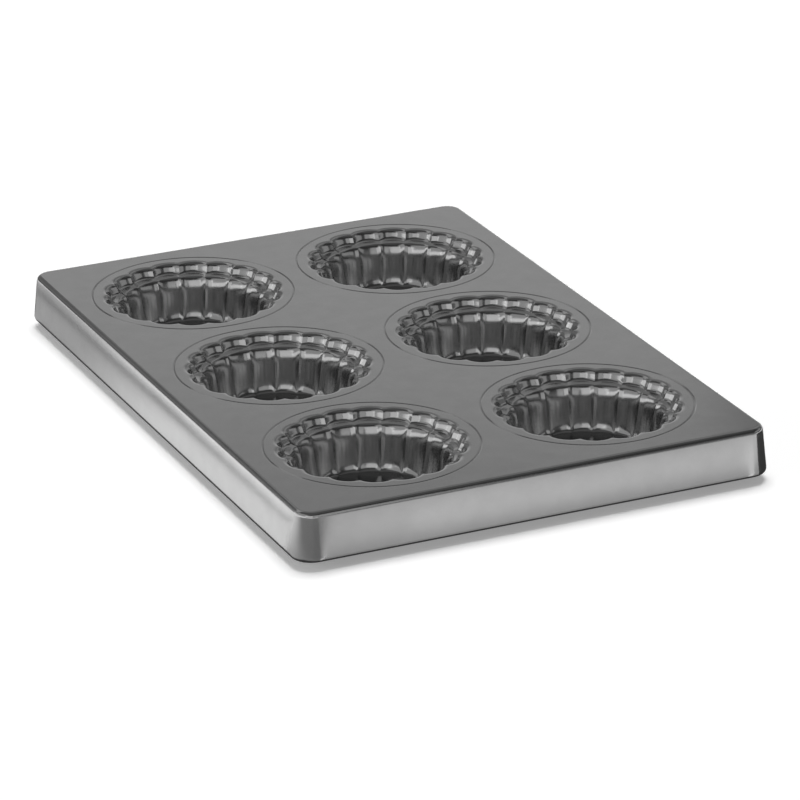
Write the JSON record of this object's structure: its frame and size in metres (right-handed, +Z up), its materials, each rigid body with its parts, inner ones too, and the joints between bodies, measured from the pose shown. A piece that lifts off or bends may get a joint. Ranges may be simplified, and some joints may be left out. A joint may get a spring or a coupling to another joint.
{
  "type": "pocket pie pan",
  "caption": "Rectangular metal baking pan with a flared skirt and deep round fluted cups in two tiers, for baking small filled pies.",
  "frame": {"origin": "on the table under the middle of the pan, level with the flat bottoms of the cups", "axes": "+X to the right along the short front side, +Y to the back along the long side, +Z up"},
  "size_m": [0.2662, 0.384, 0.0306],
  "materials": {
    "coated_deck": "semi-gloss grey metallic non-stick coating on steel sheet",
    "coated_cup": "semi-gloss grey metallic non-stick coating on steel sheet",
    "wire": "plain drawn steel wire"
  },
  "bodies": {
    "root": {"pan_deck": "coated_deck", "pocket_cup_front_left": "coated_cup", "pocket_cup_front_right": "coated_cup", "pocket_cup_middle_left": "coated_cup", "pocket_cup_middle_right": "coated_cup", "pocket_cup_back_left": "coated_cup", "pocket_cup_back_right": "coated_cup", "rim_wire": "wire"}
  },
  "joints": []
}
